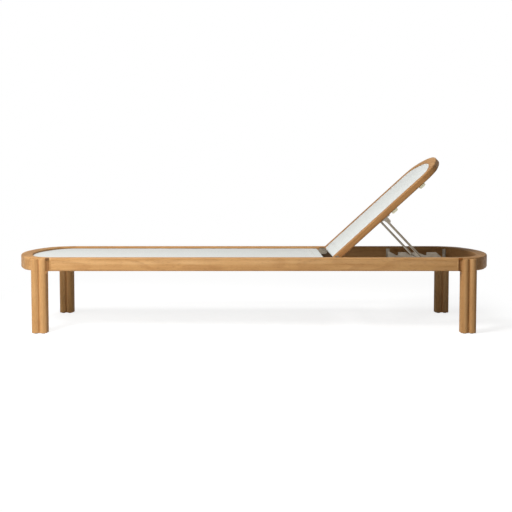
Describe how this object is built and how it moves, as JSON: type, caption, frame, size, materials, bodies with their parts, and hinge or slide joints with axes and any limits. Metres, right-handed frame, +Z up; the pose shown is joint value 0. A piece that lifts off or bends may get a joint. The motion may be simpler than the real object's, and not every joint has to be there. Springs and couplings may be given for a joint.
{
  "type": "sun lounger",
  "caption": "Low teak sun lounger with a rounded ring frame, lobed legs, a taut mesh seat and a mesh back that tilts on a hinge, held by a strut in a notched rack.",
  "frame": {"origin": "on the floor, under the middle of the ring frame", "axes": "+X from the foot to the head, +Y across to the right of someone lying on it, +Z up"},
  "size_m": [2.0498, 0.746, 0.7367],
  "materials": {
    "teak": "sanded and lightly oiled",
    "steel": "satin",
    "mesh": "woven coated yarn",
    "welt": "matt",
    "buffer": "matt",
    "glide": "matt"
  },
  "bodies": {
    "frame": {"side_rail_left": "teak", "side_rail_right": "teak", "foot_end_rail": "teak", "head_end_rail": "teak", "foot_corner_left": "teak", "foot_corner_right": "teak", "head_corner_left": "teak", "head_corner_right": "teak", "frame_tenons": "teak", "foot_leg_left": "teak", "foot_leg_right": "teak", "head_leg_left": "teak", "head_leg_right": "teak", "foot_stretcher": "teak", "middle_stretcher": "teak", "rest_ledge_left": "teak", "rest_ledge_right": "teak", "leg_studs": "steel", "seat_end_tube": "steel", "hinge_plate_left": "steel", "hinge_plate_right": "steel", "hinge_bolts": "steel", "hinge_screws": "steel", "rack_left": "steel", "rack_right": "steel", "front_strap_left": "steel", "front_strap_right": "steel", "rear_strap_left": "steel", "rear_strap_right": "steel", "strap_screws": "steel", "ledge_screws": "steel", "leg_glides": "glide", "seat_sling": "mesh", "seat_welt": "welt"},
    "back": {"back_rail_left": "teak", "back_rail_right": "teak", "back_corner_left": "teak", "back_corner_right": "teak", "back_top_rail": "teak", "back_tenons": "teak", "back_lower_tube": "steel", "hinge_leaf_left": "steel", "hinge_leaf_right": "steel", "leaf_screws": "steel", "strut_bracket_left": "steel", "strut_bracket_right": "steel", "bracket_screws": "steel", "back_sling": "mesh", "back_welt": "welt", "back_buffers": "buffer"},
    "strut": {"strut_axle": "steel", "strut_arm_left": "steel", "strut_arm_right": "steel", "strut_bosses": "steel", "foot_rod": "steel"}
  },
  "joints": [
    {"name": "back_hinge", "type": "hinge", "parent": "frame", "child": "back", "pos_m": [0.331, 0, 0.298], "axis": [0, -1, 0], "range_deg": [-42.4, 8]},
    {"name": "strut_hinge", "type": "hinge", "parent": "back", "child": "strut", "pos_m": [0.5658, 0, 0.46501], "axis": [0, -1, 0], "range_deg": [-18, 95.2]}
  ],
  "couplings": [
    {"joint": "strut_hinge", "follows": "back_hinge", "ratio": -2.243}
  ]
}
